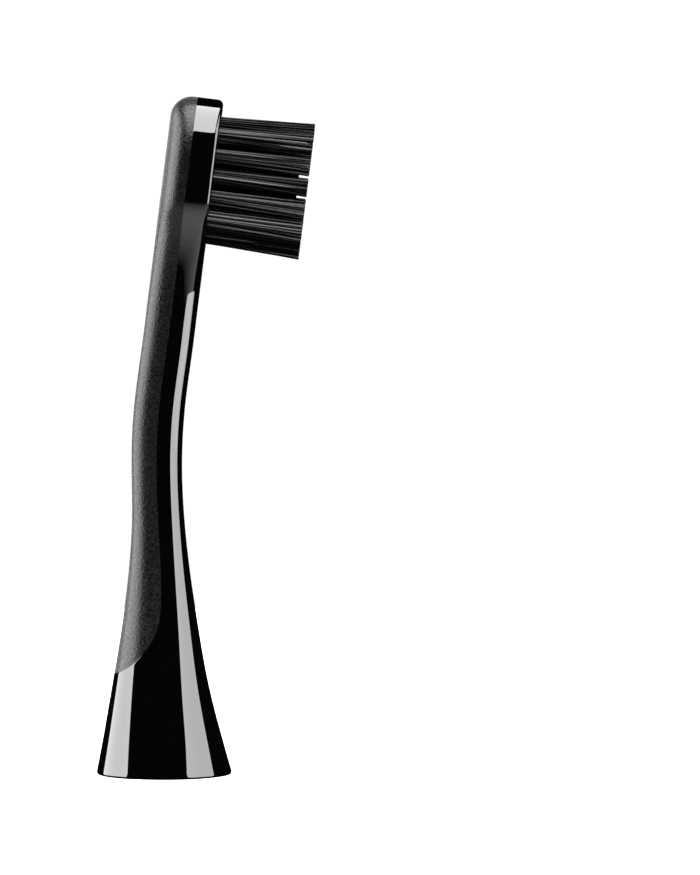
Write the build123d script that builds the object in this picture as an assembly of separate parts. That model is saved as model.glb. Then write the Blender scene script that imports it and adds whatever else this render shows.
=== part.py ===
from build123d import *
import math
import os

# Push-on brush head of a sonic toothbrush, standing on the rim of its skirt.
# Millimetres. +Z runs up the drive shaft's axis, +X is the way the bristles point, and the origin is
# the middle of the rim, where the head sits on its handle.

# ---- driving dimensions of the outside -------------------------------------------------------------
LEAN = math.radians(7.15)      # upper neck and brush lean forward by this much
THICKNESS = 6.15               # neck and brush, back to front, square to the lean
FACE_TOP = Vector(7.27, 0, 81.55)  # where the line of the bristle face meets the top of the brush
BRUSH_HALF_WIDTH = 5.3
DOME_HEIGHT = 7.0              # the rounded end of the brush, seen from the front
DOME_SQUARENESS = 2.0          # 2 is an ellipse; more is squarer
BACK_CORNER = 2.6              # rounding of the top's rear corner, seen from the side
FACE_CORNER = 0.7              # the same at the bristle face
SKIN = 0.8                     # thickness of the soft grip over the back
RIM_R, RIM_ROUNDING = 8.2, 0.35

# Skirt and lower neck: height, x at the back, x at the front, half width, squareness front and back.
LOWER_STATIONS = [
    (0.0, -8.25, 8.25, 8.25, 2.0, 2.0),
    (4.85, -7.35, 6.90, 7.10, 2.2, 2.1),
    (10.3, -6.40, 5.52, 5.87, 2.35, 2.15),
    (17.5, -5.20, 4.20, 4.55, 2.5, 2.2),
    (24.8, -4.28, 3.11, 3.46, 2.6, 2.2),
    (31.5, -3.88, 2.43, 2.84, 2.6, 2.2),
    (37.7, -3.93, 2.20, 2.68, 2.55, 2.2),
    (44.2, -3.65, 2.54, 2.68, 2.5, 2.2),
]
# Upper neck and brush: distance down from the top, half width, squareness front and back.
UPPER_STATIONS = [
    (30.0, 2.70, 2.5, 2.2),
    (25.5, 2.78, 2.5, 2.2),
    (22.5, 2.95, 2.8, 2.2),
    (20.0, 3.20, 3.6, 2.25),
    (17.5, 3.64, 5.2, 2.3),
    (15.0, 4.46, 8.5, 2.4),
    (13.3, 5.07, 12.0, 2.5),
    (12.3, 5.29, 14.0, 2.5),
    (9.5, BRUSH_HALF_WIDTH, 14.0, 2.5),
    (7.0, BRUSH_HALF_WIDTH, 14.0, 2.5),
]
DOME_ANGLES = (18, 35, 50, 62, 72, 80, 86)   # degrees up the dome at which its sections stand
DOME_SQUARE_FRONT, DOME_SQUARE_BACK = 14.0, 2.5
LAST_SECTION_DEPTH = 0.012     # the loft is closed by a small flat this far below the very top
# Directions from a section's middle in which its points stand, in degrees; close together at the corners.
DIRECTIONS = (0, 14, 27, 38, 46, 51, 55, 58.5, 62, 66, 71.5, 79.5, 90)

# Side view of the line where the soft grip meets the hard shell, from the top down to the back.
PARTING_LINE = [
    (4.42, 84.2), (3.76, 78.6), (2.63, 69.4), (0.48, 52.2), (-0.62, 43.6), (-0.87, 38.0),
    (-0.72, 32.0), (-0.40, 25.8), (-0.31, 21.0), (-0.72, 18.0), (-2.30, 15.1), (-4.60, 13.0), (-8.4, 11.4),
]
BEHIND_EVERYTHING = -20.0

# ---- bristles ---------------------------------------------------------------------------------------
ROWS = 12
ROW_PITCH = 1.2545
FIRST_ROW = 2.87               # from the top of the face to the first row's centres
COLUMN = 1.8                   # columns stand at 0, 1 and 2 of these from the middle; the last row has one
HOLE_R = 0.78
HOLE_DEPTH = 2.6
TUFT_TIP_R = 1.07
TUFT_TIP_ROUND = 0.15
LONG_TUFT, SHORT_TUFT = 11.3, 10.1   # above the face
SHORT_ROWS = (4, 6)
FAN_TOP, FAN_HEEL = -1.4, 0.95  # degrees that the first and last rows lean away from the middle
FAN_SIDE = 0.5                 # degrees outwards for each column from the middle
ANCHOR_WIDTH, ANCHOR_THICK, ANCHOR_TALL = 1.9, 0.25, 1.4

# ---- inside of the skirt and the coupling to the handle -----------------------------------------------
COLLAR_R, COLLAR_DEPTH = 6.6, 2.5
SEAT_R, SEAT_BOTTOM, SEAT_TOP = 5.0, 7.4, 9.8
CAVITY_TOP_R = 5.3
SLEEVE_BOTTOM, SLEEVE_STEP, SLEEVE_TOP = 7.0, 20.6, 25.9
SLEEVE_R, NOSE_R, SPIGOT_R = 2.8, 2.25, 3.3
FLANGE_BOTTOM = 8.6
SHAFT_R, ROUND_BORE_TOP = 1.75, 17.2
KEYED_R, KEYED_TOP = 1.55, 24.8  # the D-shaped socket for the shaft's stepped end
KEY_FLAT = 1.15                # the flat of the D stands this far in front of the axis
LEAD_IN = 0.4
SIDE_CLEARANCE = 0.1

# ---- spring clip: a band round the sleeve, and an arm on each side --------------------------------------
BAND_BOTTOM, BAND_TOP = 10.2, 11.7
BAND_R, STEEL = 2.4, 0.3
BAND_GAP_HALF_ANGLE = 32.0     # degrees each side of the back where the band is open
HINGE_Z = 12.2
ARM_IN = 2.32                  # inner face of an arm, from the axis
ARM_HALF_WIDTH = 1.1
ARM_TOP = 18.8
CATCH_NOSE = 1.35              # the catch reaches in to here, 0.2 mm inside the keyed socket
CATCH_HALF_WIDTH = 0.8
HINGE_PLAY = 0.02
POCKET_OUT, POCKET_TOP = 3.1, 19.4

SWEEP = [-degrees for degrees in reversed(DIRECTIONS[1:])] + list(DIRECTIONS)
AXIS = Vector(math.sin(LEAN), 0, math.cos(LEAN))
NORMAL = Vector(math.cos(LEAN), 0, -math.sin(LEAN))


def half_section(centre, across, half_depth, half_width, squareness, side):
    """Points of one half of a section, from one side round to the other: side is 1 in front and -1 behind."""
    points = []
    for degrees in SWEEP:
        forward, sideways = math.cos(math.radians(degrees)), math.sin(math.radians(degrees))
        reach = (abs(forward) / half_depth) ** squareness + (abs(sideways) / half_width) ** squareness
        radius = reach ** (-1 / squareness)
        if abs(degrees) == 90:
            forward = 0.0
        points.append(centre + across * (side * radius * forward) + Vector(0, side * radius * sideways, 0))
    return points


def section(back, front, half_width, square_front, square_back):
    """A closed outline through two points of the side view, of two smooth halves that meet at the sides."""
    centre = (back + front) * 0.5
    across = (front - back).normalized()
    half_depth = (front - back).length / 2
    fore = half_section(centre, across, half_depth, half_width, square_front, 1)
    aft = half_section(centre, across, half_depth, half_width, square_back, -1)
    steps = [(degrees + 90) / 180 for degrees in SWEEP]
    return Wire([
        Edge.make_spline(fore, tangents=[across, -across], parameters=steps),
        Edge.make_spline(aft, tangents=[-across, across], parameters=steps),
    ])


def corner_run_in(radius, depth):
    """How far a corner of that radius has drawn in, at a depth below the top."""
    if depth >= radius:
        return 0.0
    return radius - math.sqrt(radius**2 - (radius - depth) ** 2)


def upper_section(depth, half_width, square_front, square_back, inset):
    """A section of the leaning part, at a depth below the top of the outside."""
    below = depth - inset
    front = FACE_TOP - AXIS * depth - NORMAL * (inset + corner_run_in(FACE_CORNER, below))
    back = FACE_TOP - AXIS * depth - NORMAL * (THICKNESS - inset)
    back += NORMAL * corner_run_in(BACK_CORNER - inset, below)
    return section(back, front, half_width - inset, square_front, square_back)


def body(inset=0.0):
    """The outside of the whole head as one solid, or the same drawn in by inset on every side."""
    sections = []
    for z, x_back, x_front, half_width, square_front, square_back in LOWER_STATIONS:
        back, front = Vector(x_back + inset, 0, z), Vector(x_front - inset, 0, z)
        sections.append(section(back, front, half_width - inset, square_front, square_back))
    for depth, half_width, square_front, square_back in UPPER_STATIONS:
        sections.append(upper_section(depth, half_width, square_front, square_back, inset))
    height = DOME_HEIGHT - inset
    depths = [height * (1 - math.sin(math.radians(a))) for a in DOME_ANGLES] + [LAST_SECTION_DEPTH]
    for below in depths:
        share = (height - below) / height
        half_width = (BRUSH_HALF_WIDTH - inset) * (1 - share**DOME_SQUARENESS) ** (1 / DOME_SQUARENESS)
        sections.append(
            upper_section(below + inset, half_width + inset, DOME_SQUARE_FRONT, DOME_SQUARE_BACK, inset)
        )
    return Solid.make_loft(sections)


def box(x0, x1, y0, y1, z0, z1):
    """A box between two opposite corners."""
    return Pos((x0 + x1) / 2, (y0 + y1) / 2, (z0 + z1) / 2) * Box(x1 - x0, y1 - y0, z1 - z0)


def turned(outline):
    """A solid of revolution about the shaft's axis, from (radius, height) points."""
    return revolve(Plane.XZ * make_face(Polyline(*outline, close=True)), Axis.Z)


def behind_parting_line():
    """Everything behind the line where the grip meets the shell, as a slab across the whole head."""
    line = Spline(*[(x, z) for x, z in PARTING_LINE])
    top, bottom = PARTING_LINE[0], PARTING_LINE[-1]
    rest = Polyline(bottom, (BEHIND_EVERYTHING, bottom[1]), (BEHIND_EVERYTHING, top[1]), top)
    return extrude(Plane.XZ * make_face([line, rest]), amount=2 * SEAT_R, both=True)


def tuft_places():
    """Name, plane at the face with z along the tuft, and length above the face, for every tuft."""
    places = []
    for row in range(ROWS):
        columns = (-2, 0, 2) if row % 2 else (-1, 1)
        if row == ROWS - 1:
            columns = (0,)
        for number, column in enumerate(columns, start=1):
            across = column * COLUMN
            root = FACE_TOP - AXIS * (FIRST_ROW + row * ROW_PITCH) + Vector(0, across, 0)
            fan = math.radians(FAN_HEEL - (FAN_HEEL - FAN_TOP) * (1 - row / (ROWS - 1)) ** 3)
            side = math.radians(FAN_SIDE * column)
            along = NORMAL - AXIS * math.tan(fan) + Vector(0, math.tan(side), 0)
            length = SHORT_TUFT if row in SHORT_ROWS else LONG_TUFT
            plane = Plane(origin=root, x_dir=Vector(0, 1, 0), z_dir=along.normalized())
            places.append((f"tuft_row_{row + 1:02d}_{number}", plane, length))
    return places


def tuft(length):
    """One bundle of filaments as a plain solid: straight in its hole, a little wider at the tips."""
    outline = [
        (0, -HOLE_DEPTH), (HOLE_R, -HOLE_DEPTH), (HOLE_R, 0),
        (TUFT_TIP_R, length - TUFT_TIP_ROUND), (TUFT_TIP_R - TUFT_TIP_ROUND, length), (0, length),
    ]
    return revolve(Plane.XZ * make_face(Polyline(*outline, close=True)), Axis.Z)


def anchor():
    """The flat metal staple that a tuft is folded over, at the bottom of its hole."""
    return Pos(0, 0, ANCHOR_TALL / 2 - HOLE_DEPTH) * Box(ANCHOR_WIDTH, ANCHOR_THICK, ANCHOR_TALL)


def drive_sleeve():
    """The moulded core that takes the handle's shaft: a round bore, then a D-shaped socket."""
    core = turned([
        (0, SLEEVE_BOTTOM), (SPIGOT_R, SLEEVE_BOTTOM), (SPIGOT_R, FLANGE_BOTTOM), (SEAT_R, FLANGE_BOTTOM),
        (SEAT_R, SEAT_TOP), (SLEEVE_R, SEAT_TOP), (SLEEVE_R, BAND_BOTTOM), (BAND_R, BAND_BOTTOM),
        (BAND_R, BAND_TOP), (SLEEVE_R, BAND_TOP), (SLEEVE_R, SLEEVE_STEP), (NOSE_R, SLEEVE_STEP),
        (NOSE_R, SLEEVE_TOP), (0, SLEEVE_TOP),
    ])
    core -= turned([
        (0, SLEEVE_BOTTOM), (SHAFT_R + LEAD_IN, SLEEVE_BOTTOM), (SHAFT_R, SLEEVE_BOTTOM + LEAD_IN),
        (SHAFT_R, ROUND_BORE_TOP), (0, ROUND_BORE_TOP),
    ])
    keyed = turned([(0, ROUND_BORE_TOP), (KEYED_R, ROUND_BORE_TOP), (KEYED_R, KEYED_TOP), (0, KEYED_TOP)])
    core -= keyed - box(KEY_FLAT, KEYED_R + 1, -KEYED_R, KEYED_R, ROUND_BORE_TOP, KEYED_TOP)
    slot_half, slot_in = ARM_HALF_WIDTH + SIDE_CLEARANCE, ARM_IN - HINGE_PLAY
    window_half = CATCH_HALF_WIDTH + SIDE_CLEARANCE
    for side in (-1, 1):
        y_in, y_out = sorted((side * slot_in, side * (SLEEVE_R + 1)))
        core -= box(-slot_half, slot_half, y_in, y_out, BAND_TOP, POCKET_TOP)
        y_in, y_out = sorted((side * (CATCH_NOSE - STEEL), side * (SLEEVE_R + 1)))
        core -= box(-window_half, window_half, y_in, y_out, ARM_TOP - 2 * STEEL, ARM_TOP + STEEL)
    return core


def retainer_ring():
    """The ring pressed in behind the sleeve's flange to hold it in the skirt."""
    return turned([
        (SPIGOT_R, SEAT_BOTTOM), (SEAT_R, SEAT_BOTTOM), (SEAT_R, FLANGE_BOTTOM), (SPIGOT_R, FLANGE_BOTTOM),
    ])


def clip_band():
    """The spring clip's open band, with a short post under each arm that ends in a hollow for its root."""
    band = turned([
        (BAND_R, BAND_BOTTOM), (BAND_R + STEEL, BAND_BOTTOM), (BAND_R + STEEL, BAND_TOP), (BAND_R, BAND_TOP),
    ])
    reach = 2 * SLEEVE_R
    opening = reach * math.tan(math.radians(BAND_GAP_HALF_ANGLE))
    wedge = Plane.XY * make_face(Polyline((0, 0), (-reach, opening), (-reach, -opening), close=True))
    band -= Pos(0, 0, BAND_BOTTOM - 1) * extrude(wedge, amount=BAND_TOP - BAND_BOTTOM + 2)
    for side in (-1, 1):
        y_in, y_out = sorted((side * ARM_IN, side * (ARM_IN + STEEL)))
        post = box(-ARM_HALF_WIDTH, ARM_HALF_WIDTH, y_in, y_out, BAND_TOP, HINGE_Z)
        hollow = Pos(0, side * (ARM_IN + STEEL / 2), HINGE_Z) * Rot(0, 90, 0)
        band += post - hollow * Cylinder(STEEL / 2 + HINGE_PLAY, 3 * ARM_HALF_WIDTH)
        foot = box(-ARM_HALF_WIDTH, ARM_HALF_WIDTH, y_in, y_out, BAND_TOP - STEEL, BAND_TOP)
        band += foot - turned([(0, BAND_BOTTOM), (BAND_R, BAND_BOTTOM), (BAND_R, BAND_TOP), (0, BAND_TOP)])
    return band


def rod(y, z, half_length):
    """A round rod of the strip's own thickness, lying along X."""
    return Pos(0, y, z) * Rot(0, 90, 0) * Cylinder(STEEL / 2, 2 * half_length)


def clip_arm(side):
    """One springing arm of the clip: a round root on its axis, a flat blade, and a catch bent inwards."""
    y_in, y_out = sorted((side * ARM_IN, side * (ARM_IN + STEEL)))
    y_root, y_nose = side * (ARM_IN + STEEL / 2), side * (CATCH_NOSE + STEEL / 2)
    arm = rod(y_root, HINGE_Z, ARM_HALF_WIDTH)
    arm += box(-ARM_HALF_WIDTH, ARM_HALF_WIDTH, y_in, y_out, HINGE_Z, ARM_TOP)
    y_low, y_high = sorted((y_nose, y_root))
    arm += box(-CATCH_HALF_WIDTH, CATCH_HALF_WIDTH, y_low, y_high, ARM_TOP - STEEL, ARM_TOP)
    return arm + rod(y_nose, ARM_TOP - STEEL / 2, CATCH_HALF_WIDTH)


def hollow_for_coupling():
    """The space inside the skirt and lower neck: the collar's socket, the sleeve's seat, the arms' room."""
    space = turned([
        (0, 0), (COLLAR_R, 0), (COLLAR_R, COLLAR_DEPTH), (CAVITY_TOP_R, SEAT_BOTTOM), (SEAT_R, SEAT_BOTTOM),
        (SEAT_R, SEAT_TOP), (SLEEVE_R, SEAT_TOP), (SLEEVE_R, SLEEVE_STEP), (NOSE_R, SLEEVE_STEP),
        (NOSE_R, SLEEVE_TOP), (0, SLEEVE_TOP),
    ])
    half = ARM_HALF_WIDTH + SIDE_CLEARANCE
    return space + box(-half, half, -POCKET_OUT, POCKET_OUT, BAND_TOP - STEEL, POCKET_TOP)


def rim_corner():
    """What the rounded bottom edge of the skirt takes away."""
    inner, outer, edge = RIM_R - RIM_ROUNDING, RIM_R + 1, RIM_ROUNDING
    middle = (inner + edge * math.sin(math.pi / 4), edge - edge * math.cos(math.pi / 4))
    arc = ThreePointArc((RIM_R, edge), middle, (inner, 0))
    rest = Polyline((inner, 0), (outer, 0), (outer, edge), (RIM_R, edge))
    return revolve(Plane.XZ * make_face([rest, arc]), Axis.Z)


def main():
    outside = body() - rim_corner()
    grip = (outside & behind_parting_line()) - body(SKIN)
    places = tuft_places()
    anchors = [plane.location * anchor() for name, plane, length in places]
    housing = outside - grip - hollow_for_coupling()
    drill = Pos(0, 0, 1 - HOLE_DEPTH / 2) * Cylinder(HOLE_R, HOLE_DEPTH + 2)
    housing -= [plane.location * drill for name, plane, length in places]
    housing -= anchors
    nodes = {
        "housing": housing,
        "back_grip": grip,
        "drive_sleeve": drive_sleeve(),
        "retainer_ring": retainer_ring(),
        "clip_band": clip_band(),
        "clip_arm_left": clip_arm(1),
        "clip_arm_right": clip_arm(-1),
        "tuft_anchors": Compound(children=anchors),
    }
    for (name, plane, length), staple in zip(places, anchors):
        nodes[name] = plane.location * tuft(length) - staple
    os.makedirs("parts", exist_ok=True)
    for name, shape in nodes.items():
        export_step(shape, f"parts/{name}.step")


main()
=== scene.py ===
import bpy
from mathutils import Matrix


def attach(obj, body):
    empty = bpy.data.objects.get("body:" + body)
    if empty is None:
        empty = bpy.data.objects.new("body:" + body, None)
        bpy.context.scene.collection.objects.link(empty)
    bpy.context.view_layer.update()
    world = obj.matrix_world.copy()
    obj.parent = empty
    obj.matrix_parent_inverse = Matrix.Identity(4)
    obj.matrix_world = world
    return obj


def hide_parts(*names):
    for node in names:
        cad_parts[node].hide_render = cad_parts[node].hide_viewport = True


bl_info = {
    "name": "Brush head",
    "version": (1, 0, 0),
    "blender": (4, 5, 0),
    "location": "3D View > Sidebar > Brush head",
    "description": "Makes the visible pieces of a push-on toothbrush head, and the table that it stands on",
    "category": "Object",
}

import bmesh
import bpy
import math
import numpy as np
from mathutils import Quaternion, Vector

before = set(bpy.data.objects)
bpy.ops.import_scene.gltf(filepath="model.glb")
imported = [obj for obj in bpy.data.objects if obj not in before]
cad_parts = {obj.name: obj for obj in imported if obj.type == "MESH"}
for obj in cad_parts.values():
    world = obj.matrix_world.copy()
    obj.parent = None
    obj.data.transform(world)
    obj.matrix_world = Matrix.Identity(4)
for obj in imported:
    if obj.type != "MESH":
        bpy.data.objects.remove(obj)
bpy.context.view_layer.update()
MM = 0.001
HEAD_MIDDLE = Vector((0.0, 0.0, 45.0)) * MM
CAMERA_TARGET = Vector((22.5, 0.0, 40.8)) * MM

# ---- the outside, in millimetres: +X is the way the bristles point, +Z up the drive shaft's axis ----
LEAN = math.radians(7.15)
THICKNESS = 6.15
FACE_TOP = np.array((7.27, 0.0, 81.55))
HALF_WIDTH = 5.3
DOME_HEIGHT = 7.0
DOME_SQUARE_FRONT, DOME_SQUARE_BACK = 14.0, 2.5
SHOULDER = 12.55  # below the top, where the brush starts to narrow into the neck
BACK_CORNER, FACE_CORNER = 2.6, 0.7
SKIN = 0.8
RIM_ROUNDING = 0.35
UP_THE_LEAN = np.array((math.sin(LEAN), 0.0, math.cos(LEAN)))
OUT_OF_FACE = np.array((math.cos(LEAN), 0.0, -math.sin(LEAN)))
# height, x at the back, x at the front, half width, squareness in front and behind
LOWER = [
    (0.0, -8.25, 8.25, 8.25, 2.0, 2.0),
    (4.85, -7.35, 6.90, 7.10, 2.2, 2.1),
    (10.3, -6.40, 5.52, 5.87, 2.35, 2.15),
    (17.5, -5.20, 4.20, 4.55, 2.5, 2.2),
    (24.8, -4.28, 3.11, 3.46, 2.6, 2.2),
    (31.5, -3.88, 2.43, 2.84, 2.6, 2.2),
    (37.7, -3.93, 2.20, 2.68, 2.55, 2.2),
    (44.2, -3.65, 2.54, 2.68, 2.5, 2.2),
]
# distance down from the top, half width, squareness in front and behind
UPPER = [
    (30.0, 2.70, 2.5, 2.2),
    (25.5, 2.78, 2.5, 2.2),
    (22.5, 2.95, 2.8, 2.2),
    (20.0, 3.20, 3.6, 2.25),
    (17.5, 3.64, 5.2, 2.3),
    (15.0, 4.46, 8.5, 2.4),
    (13.55, 5.05, 12.0, 2.5),
    (12.55, 5.28, 14.0, 2.5),
    (9.5, HALF_WIDTH, 14.0, 2.5),
    (7.0, HALF_WIDTH, 14.0, 2.5),
]
# side view of the line where the soft grip meets the hard shell
PARTING = [
    (4.42, 84.2), (3.76, 78.6), (2.63, 69.4), (0.48, 52.2), (-0.62, 43.6), (-0.87, 38.0),
    (-0.72, 32.0), (-0.40, 25.8), (-0.31, 21.0), (-0.72, 18.0), (-2.30, 15.1), (-4.60, 13.0), (-8.4, 11.4),
]
GROOVE = ((0.0, 0.008), (0.03, 0.003), (0.06, 0.0))  # distance from the line, and how deep
# inside of the skirt, from its blind end down to the rim: radius and height
INSIDE = [
    (0.001, 26.0), (2.3, 26.0), (2.3, 20.6), (2.85, 20.6), (2.85, 19.5), (3.3, 19.5), (3.3, 9.8), (5.0, 9.8),
    (5.0, 7.4), (5.3, 7.4), (6.55, 2.56), (6.6, 2.4), (6.6, 0.12), (6.63, 0.05), (6.68, 0.0),
]

# ---- where the sections lie, in millimetres along the head from the rim ----
RIM_ROWS = (0.0, 0.02, 0.06, 0.12, 0.19, 0.27, RIM_ROUNDING)
TONGUE_START, TONGUE_END, TONGUE_STEP = 11.6, 18.0, 0.1  # over the round foot of the grip
CREASE_BELOW, CREASE_ABOVE, CREASE_STEP = 2.0, 0.6, 0.05  # about the shoulder
ROW_START, ROW_STEP, ROW_CLEARANCE = 0.7, 0.4, 0.15  # everywhere else, clear of the closer rows
DOME_STEP = 3.0  # degrees from one row of the domed top to the next
THINNEST = 0.002  # half width of the last row, which closes the top

# ---- how finely the shapes are worked out ----
ARC_POINTS, SEAT_POINTS = 96, 48  # round a section's outside, and across the seat under the grip
PARTING_SAMPLES, OUTLINE_SAMPLES, HALVINGS = 600, 400, 30
HALF_TURN_WEIGHT = 0.35  # a half turn draws as many points as this share of an outline's length does
FIRST_SPLIT = math.radians(40)  # the parting line is further round every section than this
NUDGE = 0.01  # radians to either side of a point, to find which way the outline runs
TINY_STEP, TINY_LENGTH = 1e-9, 1e-6  # stand in for a length of zero that something is divided by
MERGE, DEGENERATE = 0.0008, 0.0005  # points this close become one, and shorter edges than this are dropped
SHARP_EDGE = math.radians(35)


def smooth_curve(knots, values, at):
    """Values at the wanted places on the natural cubic spline through the given ones."""
    knots, values, at = np.asarray(knots, float), np.asarray(values, float), np.asarray(at, float)
    count, gaps = len(knots), np.diff(knots)
    matrix, right = np.eye(count), np.zeros_like(values)
    slopes = np.diff(values, axis=0) / gaps[:, None]
    for i in range(1, count - 1):
        matrix[i, i - 1:i + 2] = gaps[i - 1], 2 * (gaps[i - 1] + gaps[i]), gaps[i]
        right[i] = 6 * (slopes[i] - slopes[i - 1])
    bends = np.linalg.solve(matrix, right)
    i = np.clip(np.searchsorted(knots, at) - 1, 0, count - 2)
    h, u = gaps[i][:, None], ((at - knots[i]) / gaps[i])[:, None]
    line = (1 - u) * values[i] + u * values[i + 1]
    return line + h**2 / 6 * (((1 - u) ** 3 - (1 - u)) * bends[i] + (u**3 - u) * bends[i + 1])


def lengths_along(points):
    """How far every point is from the first, along the line through them."""
    return np.concatenate(([0.0], np.cumsum(np.linalg.norm(np.diff(points, axis=0), axis=1))))


def run_in(radius, depth):
    """How far a corner of that radius has drawn in, at a depth below the top."""
    return 0.0 if depth >= radius else radius - math.sqrt(radius**2 - (radius - depth) ** 2)


def in_brush(depth, behind):
    """The point in the middle of the brush's width that lies so far below its top and behind its face."""
    return FACE_TOP - UP_THE_LEAN * depth - OUT_OF_FACE * behind


def rows(inset):
    """Back, front, half width and squareness of the given sections from the rim up, drawn in by inset."""
    made = []
    for z, back, front, wide, fore, aft in LOWER:
        made.append((back + inset, z, front - inset, z, wide - inset, fore, aft))
    for depth, wide, fore, aft in UPPER:
        front, back = in_brush(depth, inset), in_brush(depth, THICKNESS - inset)
        made.append((back[0], back[2], front[0], front[2], wide - inset, fore, aft))
    return np.array(made)


def all_rows(inset):
    """Places along the head, and its section at each, from the rim to the top."""
    outside = rows(0.0)
    along = lengths_along((outside[:, 0:2] + outside[:, 2:4]) / 2)
    shoulder = along[-1] + UPPER[-1][0] - SHOULDER
    tongue = np.arange(TONGUE_START, TONGUE_END, TONGUE_STEP)
    crease = np.arange(shoulder - CREASE_BELOW, shoulder + CREASE_ABOVE, CREASE_STEP)
    coarse = [
        place for place in np.arange(ROW_START, along[-1], ROW_STEP)
        if min(abs(tongue - place)) > ROW_CLEARANCE and min(abs(crease - place)) > ROW_CLEARANCE
    ]
    places = sorted([*RIM_ROWS, *tongue, *crease, *coarse, along[-1]])
    found = smooth_curve(along, rows(inset), places)
    # the curve overshoots a little where the brush reaches its full width
    brush = np.array(places) > shoulder - CREASE_BELOW
    found[brush, 4] = np.minimum(found[brush, 4], HALF_WIDTH - inset)
    found = [tuple(row) for row in found]
    height = DOME_HEIGHT - inset
    for angle in np.arange(DOME_STEP, 90 + DOME_STEP / 2, DOME_STEP):
        below = height * (1 - math.sin(math.radians(angle)))
        wide = (HALF_WIDTH - inset) * math.cos(math.radians(angle))
        depth = below + inset
        front = in_brush(depth, inset + run_in(FACE_CORNER, below))
        back = in_brush(depth, THICKNESS - inset) + OUT_OF_FACE * run_in(BACK_CORNER - inset, below)
        ends = (back[0], back[2], front[0], front[2])
        found.append((*ends, max(wide, THINNEST), DOME_SQUARE_FRONT, DOME_SQUARE_BACK))
    return places, found


def section_axis(row):
    """Middle of a section, the way from its back to its front, and half the distance between them."""
    back, front = np.array((row[0], 0.0, row[1])), np.array((row[2], 0.0, row[3]))
    depth = np.linalg.norm(front - back) / 2
    return (back + front) / 2, (front - back) / (2 * depth), depth


def ring_point(row, angle):
    """A point of a section: angle 0 is the front, 90 degrees the +Y side and 180 the back."""
    middle, across, depth = section_axis(row)
    c, s = math.cos(angle), math.sin(angle)
    square = row[5] if c >= 0 else row[6]
    reach = ((abs(c) / depth) ** square + (abs(s) / row[4]) ** square) ** (-1 / square)
    return middle + across * (reach * c) + np.array((0.0, reach * s, 0.0))


def parting_x():
    """Heights up the parting line and its x at each, dense enough to read off."""
    line = np.array(PARTING)[::-1]
    along = lengths_along(line)
    dense = smooth_curve(along, line, np.linspace(0, along[-1], PARTING_SAMPLES))
    return dense[:, 1], dense[:, 0]


def split_angle(row, heights, xs):
    """The angle at which a section crosses the parting line, or 180 degrees where it doesn't."""
    low, high = FIRST_SPLIT, math.pi
    tip = ring_point(row, high)
    if tip[0] > np.interp(tip[2], heights, xs):
        return math.pi
    for _ in range(HALVINGS):
        middle = (low + high) / 2
        point = ring_point(row, middle)
        if point[0] > np.interp(point[2], heights, xs):
            low = middle
        else:
            high = middle
    return (low + high) / 2


def even_angles(row, start, end, count):
    """Angles from start to end whose points are about evenly spaced, and closer at the sharp corners."""
    fine = np.linspace(start, end, OUTLINE_SAMPLES)
    moves = np.diff(np.array([ring_point(row, angle) for angle in fine]), axis=0)
    steps = np.linalg.norm(moves, axis=1)
    unit = moves / np.maximum(steps, TINY_STEP)[:, None]
    turns = np.zeros(len(steps))
    turns[1:] = np.arccos(np.clip((unit[1:] * unit[:-1]).sum(axis=1), -1, 1))
    shares = steps / max(steps.sum(), TINY_LENGTH) + HALF_TURN_WEIGHT * turns / math.pi
    weight = np.concatenate(([0.0], np.cumsum(shares)))
    return np.interp(np.linspace(0, weight[-1], count), weight, fine)


def groove_point(row, angle, depth):
    """A point of a section, sunk that deep at right angles to the outline."""
    point = ring_point(row, angle)
    if depth == 0.0:
        return point
    run = ring_point(row, angle + NUDGE) - ring_point(row, angle - NUDGE)
    run = run / np.linalg.norm(run)
    across = section_axis(row)[1]
    inward = np.array((0.0, run @ across, 0.0)) - across * run[1]
    return point + inward * depth


def arc(row, start, end, count, grooves):
    """Points of a section between two angles, which sink into a fine groove at the ends if they are to."""
    radius = max((row[2] - row[0]) / 2, row[4])
    ends = [(away / radius, depth) for away, depth in GROOVE]
    low, high = start + ends[-1][0], end - ends[-1][0]
    if grooves and low < high:
        level = even_angles(row, low, high, count - 2 * len(ends) + 2)[1:-1]
        pairs = [(start + away, depth) for away, depth in ends]
        pairs += [(angle, 0.0) for angle in level]
        pairs += [(end - away, depth) for away, depth in reversed(ends)]
    else:
        # an arc too short for both grooves lies in one all the way
        depth = GROOVE[0][1] if grooves else 0.0
        pairs = [(angle, depth) for angle in even_angles(row, start, end, count)]
    return [groove_point(row, angle, depth) for angle, depth in pairs]


def rounded_rim(row, place):
    """The section drawn in, at a place along the head where the edge of the rim is rounded."""
    if place >= RIM_ROUNDING:
        return row
    gone = run_in(RIM_ROUNDING, place)
    return (row[0] + gone, row[1], row[2] - gone, row[3], row[4] - gone, row[5], row[6])


def mesh_object(name, rings, cap_start, cap_end):
    """One closed skin over rings of points, each with as many points as the next."""
    mesh = bpy.data.meshes.new(name)
    work = bmesh.new()
    loops = [[work.verts.new(Vector(p) * MM) for p in ring] for ring in rings]
    for lower, upper in zip(loops, loops[1:]):
        for i in range(len(lower)):
            j = (i + 1) % len(lower)
            work.faces.new((lower[i], lower[j], upper[j], upper[i]))
    if cap_start:
        work.faces.new(loops[0][::-1])
    if cap_end:
        work.faces.new(loops[-1])
    bmesh.ops.remove_doubles(work, verts=work.verts, dist=MERGE * MM)
    bmesh.ops.dissolve_degenerate(work, dist=DEGENERATE * MM, edges=work.edges)
    bmesh.ops.recalc_face_normals(work, faces=work.faces)
    work.to_mesh(mesh)
    work.free()
    for polygon in mesh.polygons:
        polygon.use_smooth = True
    made = bpy.data.objects.new(name, mesh)
    bpy.context.scene.collection.objects.link(made)
    made.data.set_sharp_from_angle(angle=SHARP_EDGE)
    return made


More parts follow.
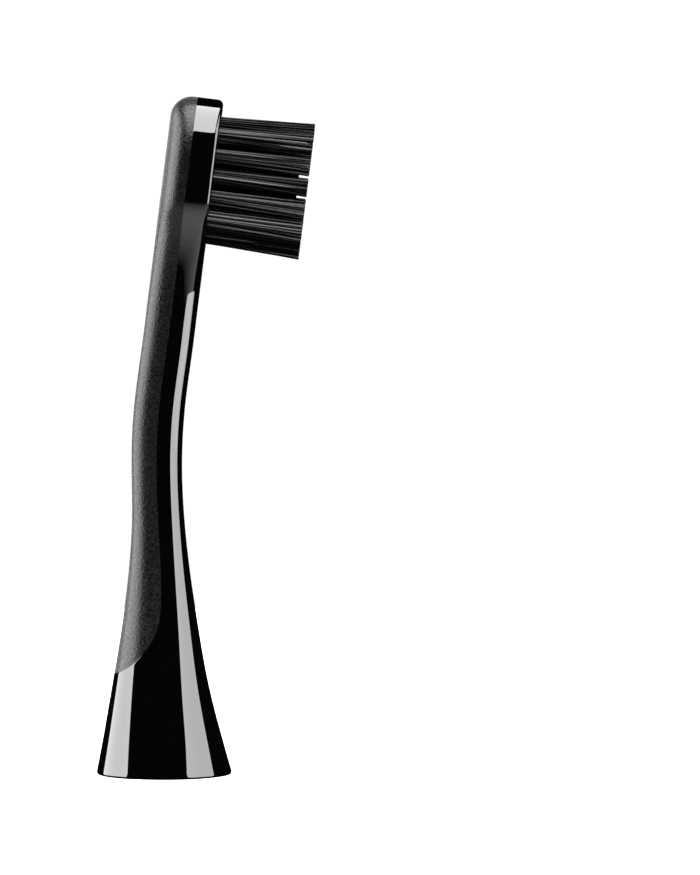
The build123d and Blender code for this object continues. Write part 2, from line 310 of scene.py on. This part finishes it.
def linear(code):
    """An sRGB hex colour as linear values."""
    values = [int(code[i:i + 2], 16) / 255 for i in (0, 2, 4)]
    return [v / 12.92 if v <= 0.04045 else ((v + 0.055) / 1.055) ** 2.4 for v in values] + [1.0]


def per_metre(size):
    """Scale that makes a pattern's patches that many millimetres wide."""
    return 1 / (size * MM)


def add(tree, kind, settings={}, inputs={}):
    """A node of that kind with its settings, whose inputs are values or come from other nodes' outputs."""
    node = tree.nodes.new(kind)
    for key, value in settings.items():
        setattr(node, key, value)
    for key, value in inputs.items():
        if isinstance(value, bpy.types.NodeSocket):
            tree.links.new(value, node.inputs[key])
        else:
            node.inputs[key].default_value = value
    return node


def new_material(name, constants):
    """A material with its nodes, its shader with those constants, and the coordinates for its patterns."""
    material = bpy.data.materials.new(name)
    material.use_nodes = True
    tree = material.node_tree
    shader = tree.nodes["Principled BSDF"]
    for key, value in constants.items():
        shader.inputs[key].default_value = value
    return material, tree, shader, add(tree, "ShaderNodeTexCoord").outputs["Object"]


def moulded_abs(colour):
    """High-gloss moulded ABS: near black and mirror-like, so the panels show in it as crisp pale stripes."""
    material, tree, shader, place = new_material("high-gloss moulded ABS", {
        "Base Color": colour, "IOR": 1.53})
    # a polished mould leaves patches of about 3 mm that differ a little in gloss
    haze = add(tree, "ShaderNodeTexNoise", {}, {"Vector": place, "Scale": per_metre(2.9), "Detail": 3.0})
    rough = add(tree, "ShaderNodeMapRange", {}, {
        "Value": haze.outputs["Fac"], "To Min": 0.015, "To Max": 0.04})
    tree.links.new(rough.outputs["Result"], shader.inputs["Roughness"])
    return material


def sandblasted_tpe(hollow, crest):
    """Soft thermoplastic elastomer from a sandblasted mould: dull charcoal with a grain in the highlight."""
    material, tree, shader, place = new_material("sandblasted TPE", {
        "IOR": 1.5, "Specular IOR Level": 0.22, "Sheen Weight": 0.17, "Sheen Roughness": 0.35})
    # the blasting's pits are duller than the crests between them; finer and shallower ones than these,
    # 0.3 mm across and under 0.07 mm deep, wouldn't show
    grain = add(tree, "ShaderNodeTexNoise", {}, {
        "Vector": place, "Scale": per_metre(0.3), "Detail": 2.0, "Roughness": 0.6})
    shade = add(tree, "ShaderNodeValToRGB", {}, {"Fac": grain.outputs["Fac"]})
    shade.color_ramp.elements[0].position = 0.35
    shade.color_ramp.elements[0].color = hollow
    shade.color_ramp.elements[1].position = 0.65
    shade.color_ramp.elements[1].color = crest
    bump = add(tree, "ShaderNodeBump", {}, {
        "Strength": 0.8, "Distance": 0.07 * MM, "Height": grain.outputs["Fac"]})
    dulling = add(tree, "ShaderNodeMapRange", {}, {
        "Value": grain.outputs["Fac"], "From Min": 0.35, "From Max": 0.65, "To Min": 0.44, "To Max": 0.18})
    tree.links.new(shade.outputs["Color"], shader.inputs["Base Color"])
    tree.links.new(bump.outputs["Normal"], shader.inputs["Normal"])
    tree.links.new(dulling.outputs["Result"], shader.inputs["Roughness"])
    return material


def nylon_filament(dull, bright):
    """Extruded nylon with a painted highlight: a random share of the filaments is coloured lighter, so a
    tuft looks like strands of which some catch the light.
    """
    material, tree, shader, _ = new_material("extruded nylon filament", {
        "Roughness": 0.3, "IOR": 1.53, "Specular IOR Level": 0.08})
    # a random value per filament picks the ones that get the lighter colour, a painted highlight
    painted_shine = add(tree, "ShaderNodeAttribute", {"attribute_name": "painted_shine"}).outputs["Fac"]
    shade = add(tree, "ShaderNodeValToRGB", {}, {"Fac": painted_shine})
    shade.color_ramp.elements[0].position = 0.68
    shade.color_ramp.elements[0].color = dull
    shade.color_ramp.elements[1].color = bright
    tree.links.new(shade.outputs["Color"], shader.inputs["Base Color"])
    return material


def moulded_acetal(colour):
    """Natural moulded acetal: an even, waxy off-white with soft patches of gloss."""
    material, tree, shader, place = new_material("natural moulded acetal", {"Base Color": colour})
    # the flow of the melt leaves patches of about a millimetre
    cloud = add(tree, "ShaderNodeTexNoise", {}, {"Vector": place, "Scale": per_metre(1.1), "Detail": 2.0})
    rough = add(tree, "ShaderNodeMapRange", {}, {
        "Value": cloud.outputs["Fac"], "To Min": 0.32, "To Max": 0.48})
    tree.links.new(rough.outputs["Result"], shader.inputs["Roughness"])
    return material


def rolled_metal(name, colour):
    """Bright rolled metal: a sharp sheen broken by fine lines along Z."""
    material, tree, shader, place = new_material(name, {"Base Color": colour, "Metallic": 1.0})
    # rolling lines are about a tenth of a millimetre wide and 4 mm long
    fine, long = per_metre(0.11), per_metre(4.0)
    lines = add(tree, "ShaderNodeMapping", {}, {"Vector": place, "Scale": (fine, fine, long)})
    noise = add(tree, "ShaderNodeTexNoise", {}, {
        "Vector": lines.outputs["Vector"], "Scale": 1.0, "Detail": 2.0})
    rough = add(tree, "ShaderNodeMapRange", {}, {
        "Value": noise.outputs["Fac"], "To Min": 0.18, "To Max": 0.38})
    tree.links.new(rough.outputs["Result"], shader.inputs["Roughness"])
    return material


def matt_card(colour):
    """Matt white card: even and without gloss, so that nothing of the head shows in it."""
    material, tree, shader, place = new_material("matt white card", {
        "Roughness": 0.9, "Specular IOR Level": 0.0})
    # clumps of paper fibre are about 2.5 mm across, and a twenty-fifth darker at most
    fibre = add(tree, "ShaderNodeTexNoise", {}, {"Vector": place, "Scale": per_metre(2.5)})
    shade = add(tree, "ShaderNodeValToRGB", {}, {"Fac": fibre.outputs["Fac"]})
    shade.color_ramp.elements[0].color = [0.96 * value for value in colour[:3]] + [1.0]
    shade.color_ramp.elements[1].color = colour
    tree.links.new(shade.outputs["Color"], shader.inputs["Base Color"])
    return material


# ---- bristles, in millimetres ----
ROWS, ROW_PITCH, FIRST_ROW, COLUMN = 12, 1.2545, 2.87, 1.8
HOLE_R, TIP_R = 0.78, 1.07
LONG_TUFT, SHORT_TUFT, SHORT_ROWS = 11.3, 10.1, (4, 6)
FAN_TOP, FAN_HEEL, FAN_SIDE = -1.4, 0.95, 0.5
ROOT_DEPTH = 1.0
IN_HOLE = 0.08  # the share of a filament over which its bundle keeps the hole's radius
BEND_POWER = 1.6  # above 1, so that a filament strays mostly near its tip
FILAMENT_POINTS, FILAMENT_SIDES = 6, 6
# seed of the random pick of filaments that get the painted highlight colour
PAINTED_SHINE_SEED = 3


def tufts():
    """Every tuft's name in the frame, root, direction per unit of height, and height above the face."""
    found = []
    for row in range(ROWS):
        columns = (0,) if row == ROWS - 1 else (-2, 0, 2) if row % 2 else (-1, 1)
        for number, column in enumerate(columns, start=1):
            root = in_brush(FIRST_ROW + row * ROW_PITCH, 0.0) + np.array((0.0, column * COLUMN, 0.0))
            fan = math.radians(FAN_HEEL - (FAN_HEEL - FAN_TOP) * (1 - row / (ROWS - 1)) ** 3)
            side = math.tan(math.radians(FAN_SIDE * column))
            along = OUT_OF_FACE - UP_THE_LEAN * math.tan(fan) + np.array((0.0, side, 0.0))
            length = SHORT_TUFT if row in SHORT_ROWS else LONG_TUFT
            found.append((f"tuft_row_{row + 1:02d}_{number}", root, along, length))
    return found


def bristle_tree():
    """Geometry nodes that grow a bundle of filaments from every point, packed at the root and looser above.

    All tips end at the same height above the face, because the bristles are trimmed flat after tufting.
    """
    tree = bpy.data.node_groups.new("bristles", "GeometryNodeTree")
    tree.is_modifier = True
    wanted = {
        "Filaments": "Int", "Hole radius": "Float", "Tip radius": "Float", "Filament radius": "Float",
        "Root depth": "Float", "Splay": "Float", "Unevenness": "Float", "Across": "Vector", "Up": "Vector",
        "Seed": "Int", "Material": "Material",
    }
    tree.interface.new_socket("Geometry", in_out="INPUT", socket_type="NodeSocketGeometry")
    for name, kind in wanted.items():
        tree.interface.new_socket(name, in_out="INPUT", socket_type="NodeSocket" + kind)
    tree.interface.new_socket("Geometry", in_out="OUTPUT", socket_type="NodeSocketGeometry")
    given = add(tree, "NodeGroupInput").outputs
    maths, vectors = "ShaderNodeMath", "ShaderNodeVectorMath"
    times, plus, fused = {"operation": "MULTIPLY"}, {"operation": "ADD"}, {"operation": "MULTIPLY_ADD"}
    scale = {"operation": "SCALE"}
    golden_turn = math.pi * (3 - math.sqrt(5))

    # every point becomes a spiral of numbered points, which is how a bundle packs
    many = add(tree, "GeometryNodeDuplicateElements", {"domain": "POINT"}, {
        "Geometry": given["Geometry"], "Amount": given["Filaments"]})
    number = add(tree, maths, plus, {0: many.outputs["Duplicate Index"], 1: 0.5}).outputs[0]
    share = add(tree, maths, {"operation": "DIVIDE"}, {0: number, 1: given["Filaments"]}).outputs[0]
    reach = add(tree, maths, {"operation": "SQRT"}, {0: share}).outputs[0]
    tuft = add(tree, "GeometryNodeInputNamedAttribute", {"data_type": "INT"}, {"Name": "tuft"}).outputs[0]
    twist = add(tree, "FunctionNodeRandomValue", {"data_type": "FLOAT"}, {
        2: 0.0, 3: 2 * math.pi, "ID": tuft, "Seed": given["Seed"]}).outputs[1]
    turn = add(tree, maths, fused, {0: number, 1: golden_turn, 2: twist}).outputs[0]
    stray = add(tree, "FunctionNodeRandomValue", {"data_type": "FLOAT_VECTOR"}, {
        0: (-1.0, -1.0, -1.0), 1: (1.0, 1.0, 1.0), "Seed": given["Seed"]}).outputs[0]
    # a random value per filament; the nylon's colour ramp paints a highlight on the third of them with the
    # highest values
    painted_shine = add(tree, "FunctionNodeRandomValue", {"data_type": "FLOAT"}, {"Seed": PAINTED_SHINE_SEED}).outputs[1]
    points = many.outputs["Geometry"]
    kept = (("reach", "FLOAT", reach), ("turn", "FLOAT", turn), ("stray", "FLOAT_VECTOR", stray),
            ("painted_shine", "FLOAT", painted_shine))
    for name, kind, value in kept:
        points = add(tree, "GeometryNodeStoreNamedAttribute", {"data_type": kind, "domain": "POINT"}, {
            "Geometry": points, "Name": name, "Value": value}).outputs["Geometry"]

    # every point then carries a short line, whose points are moved to where the filament runs
    line = add(tree, "GeometryNodeCurvePrimitiveLine", {}, {"End": (0.0, 0.0, 0.001)})
    fine = add(tree, "GeometryNodeResampleCurve", {}, {
        "Curve": line.outputs["Curve"], "Count": FILAMENT_POINTS})
    placed = add(tree, "GeometryNodeInstanceOnPoints", {}, {
        "Points": points, "Instance": fine.outputs["Curve"]})
    curves = add(tree, "GeometryNodeRealizeInstances", {}, {"Geometry": placed.outputs["Instances"]})
    kinds = {"root": "FLOAT_VECTOR", "along": "FLOAT_VECTOR", "stray": "FLOAT_VECTOR", "length": "FLOAT",
             "reach": "FLOAT", "turn": "FLOAT"}
    read = {}
    for name, kind in kinds.items():
        attribute = add(tree, "GeometryNodeInputNamedAttribute", {"data_type": kind}, {"Name": name})
        read[name] = attribute.outputs[0]
    run = add(tree, "GeometryNodeSplineParameter").outputs["Factor"]
    odd = add(tree, "ShaderNodeSeparateXYZ", {}, {"Vector": read["stray"]}).outputs
    cosine = add(tree, maths, {"operation": "COSINE"}, {0: read["turn"]}).outputs[0]
    sine = add(tree, maths, {"operation": "SINE"}, {0: read["turn"]}).outputs[0]
    bundle = add(tree, "ShaderNodeMapRange", {}, {
        "Value": run, "From Min": IN_HOLE,
        "To Min": given["Hole radius"], "To Max": given["Tip radius"]}).outputs[0]
    radius = add(tree, maths, times, {0: bundle, 1: read["reach"]}).outputs[0]
    bend = add(tree, maths, {"operation": "POWER"}, {0: run, 1: BEND_POWER}).outputs[0]
    bend = add(tree, maths, times, {0: bend, 1: given["Splay"]}).outputs[0]
    sideways = add(tree, maths, times, {0: cosine, 1: radius}).outputs[0]
    sideways = add(tree, maths, fused, {0: odd["X"], 1: bend, 2: sideways}).outputs[0]
    upwards = add(tree, maths, times, {0: sine, 1: radius}).outputs[0]
    upwards = add(tree, maths, fused, {0: odd["Y"], 1: bend, 2: upwards}).outputs[0]
    whole = add(tree, maths, fused, {0: odd["Z"], 1: given["Unevenness"], 2: read["length"]}).outputs[0]
    whole = add(tree, maths, plus, {0: whole, 1: given["Root depth"]}).outputs[0]
    height = add(tree, maths, times, {0: run, 1: whole}).outputs[0]
    height = add(tree, maths, {"operation": "SUBTRACT"}, {0: height, 1: given["Root depth"]}).outputs[0]
    place = add(tree, vectors, scale, {0: read["along"], "Scale": height}).outputs[0]
    for direction, amount in ((given["Across"], sideways), (given["Up"], upwards)):
        step = add(tree, vectors, scale, {0: direction, "Scale": amount}).outputs[0]
        place = add(tree, vectors, plus, {0: place, 1: step}).outputs[0]
    place = add(tree, vectors, plus, {0: place, 1: read["root"]}).outputs[0]
    moved = add(tree, "GeometryNodeSetPosition", {}, {
        "Geometry": curves.outputs["Geometry"], "Position": place})
    round_wire = add(tree, "GeometryNodeCurvePrimitiveCircle", {}, {
        "Resolution": FILAMENT_SIDES, "Radius": given["Filament radius"]})
    solid = add(tree, "GeometryNodeCurveToMesh", {}, {
        "Curve": moved.outputs["Geometry"], "Profile Curve": round_wire.outputs["Curve"], "Fill Caps": True})
    smooth = add(tree, "GeometryNodeSetShadeSmooth", {}, {"Geometry": solid.outputs["Mesh"]})
    real = add(tree, "GeometryNodeRealizeInstances", {}, {"Geometry": smooth.outputs["Geometry"]})
    done = add(tree, "GeometryNodeSetMaterial", {}, {
        "Geometry": real.outputs["Geometry"], "Material": given["Material"]})
    add(tree, "NodeGroupOutput", {}, {"Geometry": done.outputs["Geometry"]})
    return tree


def colour_setting(name, description, code):
    return bpy.props.FloatVectorProperty(
        name=name, description=description, subtype="COLOR", size=4, min=0.0, max=1.0, default=linear(code)
    )


def length_setting(name, description, size):
    return bpy.props.FloatProperty(
        name=name, description=description, unit="LENGTH", min=0.0, precision=5, default=size * MM
    )


class ShellSettings(bpy.types.PropertyGroup):
    colour: colour_setting("Colour", "Colour of the hard shell", "010101")


class GripSettings(bpy.types.PropertyGroup):
    hollow: colour_setting("Hollows", "Colour in the hollows of the grain", "010101")
    crest: colour_setting("Crests", "Colour on the crests of the grain", "030303")


class BristleSettings(bpy.types.PropertyGroup):
    filaments: bpy.props.IntProperty(
        name="Filaments", description="Filaments in each tuft", default=56, min=1
    )
    filament: length_setting("Filament", "Diameter of a filament", 0.18)
    splay: length_setting("Splay", "How far a tip may stray from its place", 0.2)
    unevenness: length_setting("Unevenness", "How much longer or shorter a filament may be", 0.06)
    dull: colour_setting("Dull", "Colour of the filaments that stay dark", "010101")
    # the lighter colour is a painted highlight, given to a random share of the filaments in place of light
    # that they catch
    bright: colour_setting("Bright", "Colour of the filaments that catch the light", "4c4c4c")
    seed: bpy.props.IntProperty(
        name="Seed", description="Another value gives another set of filaments", default=11
    )


class CouplingSettings(bpy.types.PropertyGroup):
    acetal: colour_setting("Acetal", "Colour of the drive sleeve and the ring that holds the clip", "d8d6cf")
    steel: colour_setting("Steel", "Colour of the spring clip", "b9bbbd")
    wire: colour_setting("Wire", "Colour of the anchors that the tufts are folded over", "c9c0a4")


class StageSettings(bpy.types.PropertyGroup):
    table: colour_setting("Table", "Colour of the table", "f4f4f4")
    radius: length_setting("Radius", "Radius of the table", 250.0)
    distance: length_setting("Distance", "From the camera to the head", 1000.0)
    height: length_setting("Height", "Height of what the camera sees at the head", 105.8)
    elevation: bpy.props.FloatProperty(
        name="Elevation", description="Angle that the camera looks down at", unit="ROTATION",
        default=math.radians(3.4)
    )


class BRUSH_OT_shell(bpy.types.Operator):
    """Makes the hard outer shell with its hollow skirt"""

    bl_idname = "brush_head.shell"
    bl_label = "Shell"

    def execute(self, context):
        heights, xs = parting_x()
        places, outer = all_rows(0.0)
        inner = all_rows(SKIN)[1]
        rings = []
        turns = np.linspace(-math.pi, math.pi, ARC_POINTS)
        for radius, z in INSIDE:
            ring = [(radius * math.cos(turn), radius * math.sin(turn), z) for turn in turns]
            rings.append(ring + [ring[-1]] * SEAT_POINTS)
        # the dome's rows come after the last place, and are all above the rim's rounding
        places = places + [places[-1]] * (len(outer) - len(places))
        for place, row, inner_row in zip(places, outer, inner):
            row = rounded_rim(row, place)
            split = split_angle(row, heights, xs)
            if split >= math.pi:
                ring = arc(row, -math.pi, math.pi, ARC_POINTS, False)
                ring += [ring[-1]] * SEAT_POINTS
            else:
                ring = arc(row, -split, split, ARC_POINTS, True)
                ring += arc(inner_row, split, 2 * math.pi - split, SEAT_POINTS, False)
            rings.append(ring)
        shell = mesh_object("shell", rings, False, False)
        shell.data.materials.append(moulded_abs(context.scene.brush_shell.colour))
        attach(shell, "head")
        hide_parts("housing")
        return {"FINISHED"}


class BRUSH_OT_grip(bpy.types.Operator):
    """Makes the soft grip over the back"""

    bl_idname = "brush_head.grip"
    bl_label = "Soft grip"

    def execute(self, context):
        heights, xs = parting_x()
        outer, inner = all_rows(0.0)[1], all_rows(SKIN)[1]
        rings = []
        for row, inner_row in zip(outer, inner):
            split = split_angle(row, heights, xs)
            if split < math.pi:
                ring = arc(row, split, 2 * math.pi - split, ARC_POINTS, True)
                ring += arc(inner_row, split, 2 * math.pi - split, SEAT_POINTS, False)[::-1]
                rings.append(ring)
        grip = mesh_object("grip", rings, True, True)
        colours = context.scene.brush_grip
        grip.data.materials.append(sandblasted_tpe(colours.hollow, colours.crest))
        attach(grip, "head")
        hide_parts("back_grip")
        return {"FINISHED"}


class BRUSH_OT_bristles(bpy.types.Operator):
    """Grows the filaments of every tuft"""

    bl_idname = "brush_head.bristles"
    bl_label = "Bristles"

    def execute(self, context):
        wanted = context.scene.brush_bristles
        places = tufts()
        mesh = bpy.data.meshes.new("tuft roots")
        mesh.from_pydata([Vector(root) * MM for _, root, _, _ in places], [], [])
        columns = {
            "root": ("FLOAT_VECTOR", "vector", [root * MM for _, root, _, _ in places]),
            "along": ("FLOAT_VECTOR", "vector", [along for _, _, along, _ in places]),
            "length": ("FLOAT", "value", [length * MM for _, _, _, length in places]),
            "tuft": ("INT", "value", range(len(places))),
        }
        for name, (kind, field, values) in columns.items():
            layer = mesh.attributes.new(name, kind, "POINT")
            for item, value in zip(layer.data, values):
                setattr(item, field, value)
        roots = bpy.data.objects.new("tuft roots", mesh)
        context.scene.collection.objects.link(roots)
        tree = bristle_tree()
        modifier = roots.modifiers.new("bristles", "NODES")
        modifier.node_group = tree
        settings = {
            "Filaments": wanted.filaments, "Hole radius": HOLE_R * MM, "Tip radius": TIP_R * MM,
            "Filament radius": wanted.filament / 2, "Root depth": ROOT_DEPTH * MM, "Splay": wanted.splay,
            "Unevenness": wanted.unevenness, "Across": (0.0, 1.0, 0.0), "Up": UP_THE_LEAN.tolist(),
            "Seed": wanted.seed, "Material": nylon_filament(wanted.dull, wanted.bright),
        }
        for item in tree.interface.items_tree:
            if item.item_type == "SOCKET" and item.in_out == "INPUT" and item.name in settings:
                modifier[item.identifier] = settings[item.name]
        depsgraph = context.evaluated_depsgraph_get()
        grown = bpy.data.meshes.new_from_object(roots.evaluated_get(depsgraph), depsgraph=depsgraph)
        bpy.data.objects.remove(roots)
        for name in [a.name for a in grown.attributes if a.name in (*columns, "reach", "turn", "stray")]:
            grown.attributes.remove(grown.attributes[name])
        grown.name = "bristles"
        bristles = bpy.data.objects.new("bristles", grown)
        context.scene.collection.objects.link(bristles)
        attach(bristles, "head")
        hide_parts(*[name for name, _, _, _ in places])
        return {"FINISHED"}


class BRUSH_OT_coupling(bpy.types.Operator):
    """Finishes the pieces inside the skirt and the anchors in the tuft holes"""

    bl_idname = "brush_head.coupling"
    bl_label = "Coupling"

    def execute(self, context):
        colours = context.scene.brush_coupling
        acetal = moulded_acetal(colours.acetal)
        steel = rolled_metal("rolled stainless strip", colours.steel)
        wire = rolled_metal("nickel silver wire", colours.wire)
        finishes = {
            "drive_sleeve": acetal, "retainer_ring": acetal, "clip_band": steel, "clip_arm_left": steel,
            "clip_arm_right": steel, "tuft_anchors": wire,
        }
        for name, material in finishes.items():
            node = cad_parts[name]
            node.data.materials.clear()
            node.data.materials.append(material)
        return {"FINISHED"}


# ---- the stage, in metres and degrees ----
# each panel's azimuth, elevation and distance from the head, height, width, and radiance from side to side
PANELS = {
    "overhead": (0, 71.3, 1.0, 1.24, 0.8, (14.0, 14.0)),
    "left": (-96.2, 14, 1.1, 1.3, 1.31, (6.7, 12.8)),
    "right": (68.6, 14, 1.1, 1.3, 1.12, (11.0, 8.0)),
}
# a dim panel that lies on the table in front of the head, brightest at its near edge
CARD = Vector((0.1, -0.13, 0.001))
CARD_TALL, CARD_WIDE, CARD_RADIANCE, CARD_SPIN = 0.7, 0.18, (0.0, 1.8), math.pi / 2
NEARLY_DARK, WHITE = 0.004, 1.05
TABLE_SIDES = 96
SENSOR = 36.0  # millimetres


def round_the_head(azimuth, elevation, distance):
    """A place about the head's middle. Azimuth 0 is the camera's side, and 90 degrees the bristles' side."""
    a, e = math.radians(azimuth), math.radians(elevation)
    away = Vector((math.sin(a) * math.cos(e), -math.cos(a) * math.cos(e), math.sin(e)))
    return HEAD_MIDDLE + away * distance


def softbox(name, place, facing, tall, wide, radiance, spin=0.0):
    """A lit panel at a place, facing a point, whose radiance changes evenly across its width."""
    data = bpy.data.lights.new(name, "AREA")
    data.shape = "RECTANGLE"
    data.size, data.size_y = wide, tall
    data.energy = math.pi * wide * tall  # gives a radiance of 1, which the strength below multiplies
    data.use_nodes = True
    tree = data.node_tree
    spot = add(tree, "ShaderNodeNewGeometry").outputs["Parametric"]
    across = add(tree, "ShaderNodeSeparateXYZ", {}, {"Vector": spot}).outputs["X"]
    shade = add(tree, "ShaderNodeMapRange", {}, {
        "Value": across, "To Min": radiance[0], "To Max": radiance[1]})
    tree.links.new(shade.outputs["Result"], tree.nodes["Emission"].inputs["Strength"])
    made = bpy.data.objects.new(name, data)
    bpy.context.scene.collection.objects.link(made)
    made.location = place
    made.rotation_mode = "QUATERNION"
    made.rotation_quaternion = (facing - place).to_track_quat("-Z", "Y") @ Quaternion((0.0, 0.0, 1.0), spin)
    made.visible_camera = False


def white_surroundings():
    """White behind the head, and near dark to everything else, so that only the panels show in the gloss."""
    world = bpy.data.worlds.new("studio")
    world.use_nodes = True
    tree = world.node_tree
    seen = add(tree, "ShaderNodeLightPath").outputs["Is Camera Ray"]
    strength = add(tree, "ShaderNodeMapRange", {}, {"Value": seen, "To Min": NEARLY_DARK, "To Max": WHITE})
    background = tree.nodes["Background"]
    tree.links.new(strength.outputs["Result"], background.inputs["Strength"])
    background.inputs["Color"].default_value = (1, 1, 1, 1)
    return world


class BRUSH_OT_stage(bpy.types.Operator):
    """Sets up the table, the lights and the camera"""

    bl_idname = "brush_head.stage"
    bl_label = "Stage"

    def execute(self, context):
        wanted = context.scene.brush_stage
        mesh = bpy.data.meshes.new("table")
        work = bmesh.new()
        bmesh.ops.create_circle(work, cap_ends=True, segments=TABLE_SIDES, radius=wanted.radius)
        work.to_mesh(mesh)
        work.free()
        table = bpy.data.objects.new("table", mesh)
        context.scene.collection.objects.link(table)
        table.data.materials.append(matt_card(wanted.table))
        table.visible_glossy = False  # its grazing reflection would wash out the foot of the skirt

        for name, (azimuth, elevation, distance, tall, wide, radiance) in PANELS.items():
            place = round_the_head(azimuth, elevation, distance)
            softbox(name, place, HEAD_MIDDLE, tall, wide, radiance)
        above = CARD + Vector((0.0, 0.0, 1.0))
        softbox("card", CARD, above, CARD_TALL, CARD_WIDE, CARD_RADIANCE, CARD_SPIN)
        context.scene.world = white_surroundings()
        context.scene.view_settings.view_transform = "Standard"

        camera = bpy.data.objects.new("camera", bpy.data.cameras.new("camera"))
        context.scene.collection.objects.link(camera)
        context.scene.camera = camera
        away = Vector((0.0, -math.cos(wanted.elevation), math.sin(wanted.elevation)))
        camera.location = CAMERA_TARGET + away * wanted.distance
        camera.rotation_mode = "QUATERNION"
        camera.rotation_quaternion = (-away).to_track_quat("-Z", "Y")
        camera.data.sensor_width = SENSOR
        camera.data.lens = camera.data.sensor_width * wanted.distance / wanted.height
        return {"FINISHED"}


# each piece's operator, its settings' name in the scene and their class
PIECES = (
    (BRUSH_OT_shell, "brush_shell", ShellSettings),
    (BRUSH_OT_grip, "brush_grip", GripSettings),
    (BRUSH_OT_bristles, "brush_bristles", BristleSettings),
    (BRUSH_OT_coupling, "brush_coupling", CouplingSettings),
    (BRUSH_OT_stage, "brush_stage", StageSettings),
)


class BRUSH_PT_pieces(bpy.types.Panel):
    """Every piece with its settings"""

    bl_idname = "BRUSH_PT_pieces"
    bl_label = "Brush head"
    bl_space_type = "VIEW_3D"
    bl_region_type = "UI"
    bl_category = "Brush head"

    def draw(self, context):
        for operator, where, settings in PIECES:
            box = self.layout.box()
            box.operator(operator.bl_idname)
            for name in settings.__annotations__:
                box.prop(getattr(context.scene, where), name)


def register():
    for operator, where, settings in PIECES:
        bpy.utils.register_class(settings)
        setattr(bpy.types.Scene, where, bpy.props.PointerProperty(type=settings))
        bpy.utils.register_class(operator)
    bpy.utils.register_class(BRUSH_PT_pieces)


def unregister():
    bpy.utils.unregister_class(BRUSH_PT_pieces)
    for operator, where, settings in reversed(PIECES):
        bpy.utils.unregister_class(operator)
        delattr(bpy.types.Scene, where)
        bpy.utils.unregister_class(settings)


def main():
    register()
    bpy.ops.brush_head.shell()
    bpy.ops.brush_head.grip()
    bpy.ops.brush_head.bristles()
    bpy.ops.brush_head.coupling()
    bpy.ops.brush_head.stage()


if __name__ == "__main__":
    main()
